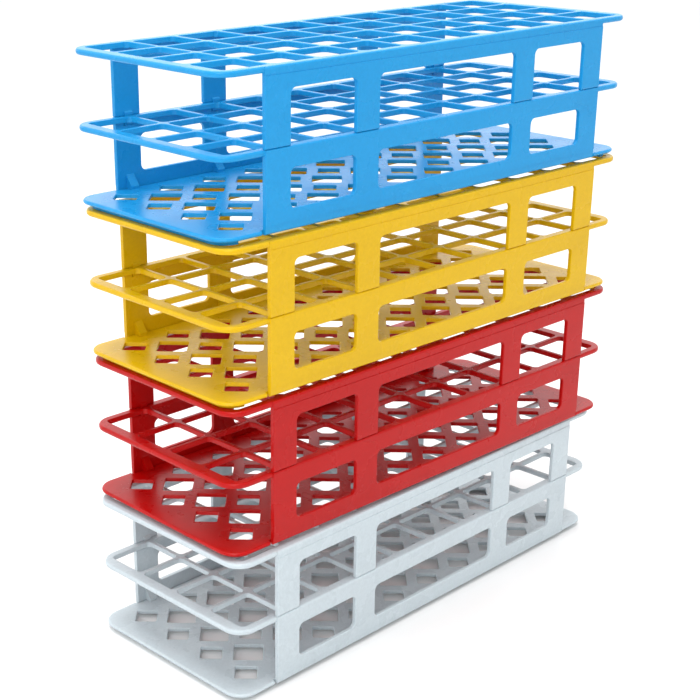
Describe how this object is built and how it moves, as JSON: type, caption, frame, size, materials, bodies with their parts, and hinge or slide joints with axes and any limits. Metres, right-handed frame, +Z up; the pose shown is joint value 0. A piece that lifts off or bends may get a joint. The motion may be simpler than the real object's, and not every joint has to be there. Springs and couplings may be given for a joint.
{
  "type": "stack of test tube racks",
  "caption": "Stack of open plastic test tube racks in different colours, each a square-cell grid on two levels over a pierced base plate, with windowed side walls.",
  "frame": {"origin": "middle of the stack's outline, at the surface the lowest rack's feet stand on", "axes": "+Z up, +X along the length of the lowest rack, +Y across it towards the back"},
  "size_m": [0.2486, 0.103, 0.258],
  "materials": {
    "grey": "semi-gloss moulded polypropylene",
    "red": "semi-gloss moulded polypropylene",
    "yellow": "semi-gloss moulded polypropylene",
    "blue": "semi-gloss moulded polypropylene"
  },
  "bodies": {
    "grey_base_plate": {"grey_base_plate": "grey"},
    "grey_middle_tier": {"grey_middle_tier": "grey"},
    "grey_top_tier": {"grey_top_tier": "grey"},
    "red_base_plate": {"red_base_plate": "red"},
    "red_middle_tier": {"red_middle_tier": "red"},
    "red_top_tier": {"red_top_tier": "red"},
    "yellow_base_plate": {"yellow_base_plate": "yellow"},
    "yellow_middle_tier": {"yellow_middle_tier": "yellow"},
    "yellow_top_tier": {"yellow_top_tier": "yellow"},
    "blue_base_plate": {"blue_base_plate": "blue"},
    "blue_middle_tier": {"blue_middle_tier": "blue"},
    "blue_top_tier": {"blue_top_tier": "blue"}
  },
  "joints": [
    {"name": "grey_middle_tier_lift", "type": "slide", "parent": "grey_base_plate", "child": "grey_middle_tier", "axis": [0, 0, 1], "range_m": [0, 0.05]},
    {"name": "grey_top_tier_lift", "type": "slide", "parent": "grey_middle_tier", "child": "grey_top_tier", "axis": [0, 0, 1], "range_m": [0, 0.05]},
    {"name": "red_base_plate_lift", "type": "slide", "parent": "grey_top_tier", "child": "red_base_plate", "axis": [0, 0, 1], "range_m": [0, 0.09]},
    {"name": "red_middle_tier_lift", "type": "slide", "parent": "red_base_plate", "child": "red_middle_tier", "axis": [0, 0, 1], "range_m": [0, 0.05]},
    {"name": "red_top_tier_lift", "type": "slide", "parent": "red_middle_tier", "child": "red_top_tier", "axis": [0, 0, 1], "range_m": [0, 0.05]},
    {"name": "yellow_base_plate_lift", "type": "slide", "parent": "red_top_tier", "child": "yellow_base_plate", "axis": [0, 0, 1], "range_m": [0, 0.09]},
    {"name": "yellow_middle_tier_lift", "type": "slide", "parent": "yellow_base_plate", "child": "yellow_middle_tier", "axis": [0, 0, 1], "range_m": [0, 0.05]},
    {"name": "yellow_top_tier_lift", "type": "slide", "parent": "yellow_middle_tier", "child": "yellow_top_tier", "axis": [0, 0, 1], "range_m": [0, 0.05]},
    {"name": "blue_base_plate_lift", "type": "slide", "parent": "yellow_top_tier", "child": "blue_base_plate", "axis": [0, 0, 1], "range_m": [0, 0.09]},
    {"name": "blue_middle_tier_lift", "type": "slide", "parent": "blue_base_plate", "child": "blue_middle_tier", "axis": [0, 0, 1], "range_m": [0, 0.05]},
    {"name": "blue_top_tier_lift", "type": "slide", "parent": "blue_middle_tier", "child": "blue_top_tier", "axis": [0, 0, 1], "range_m": [0, 0.05]}
  ]
}
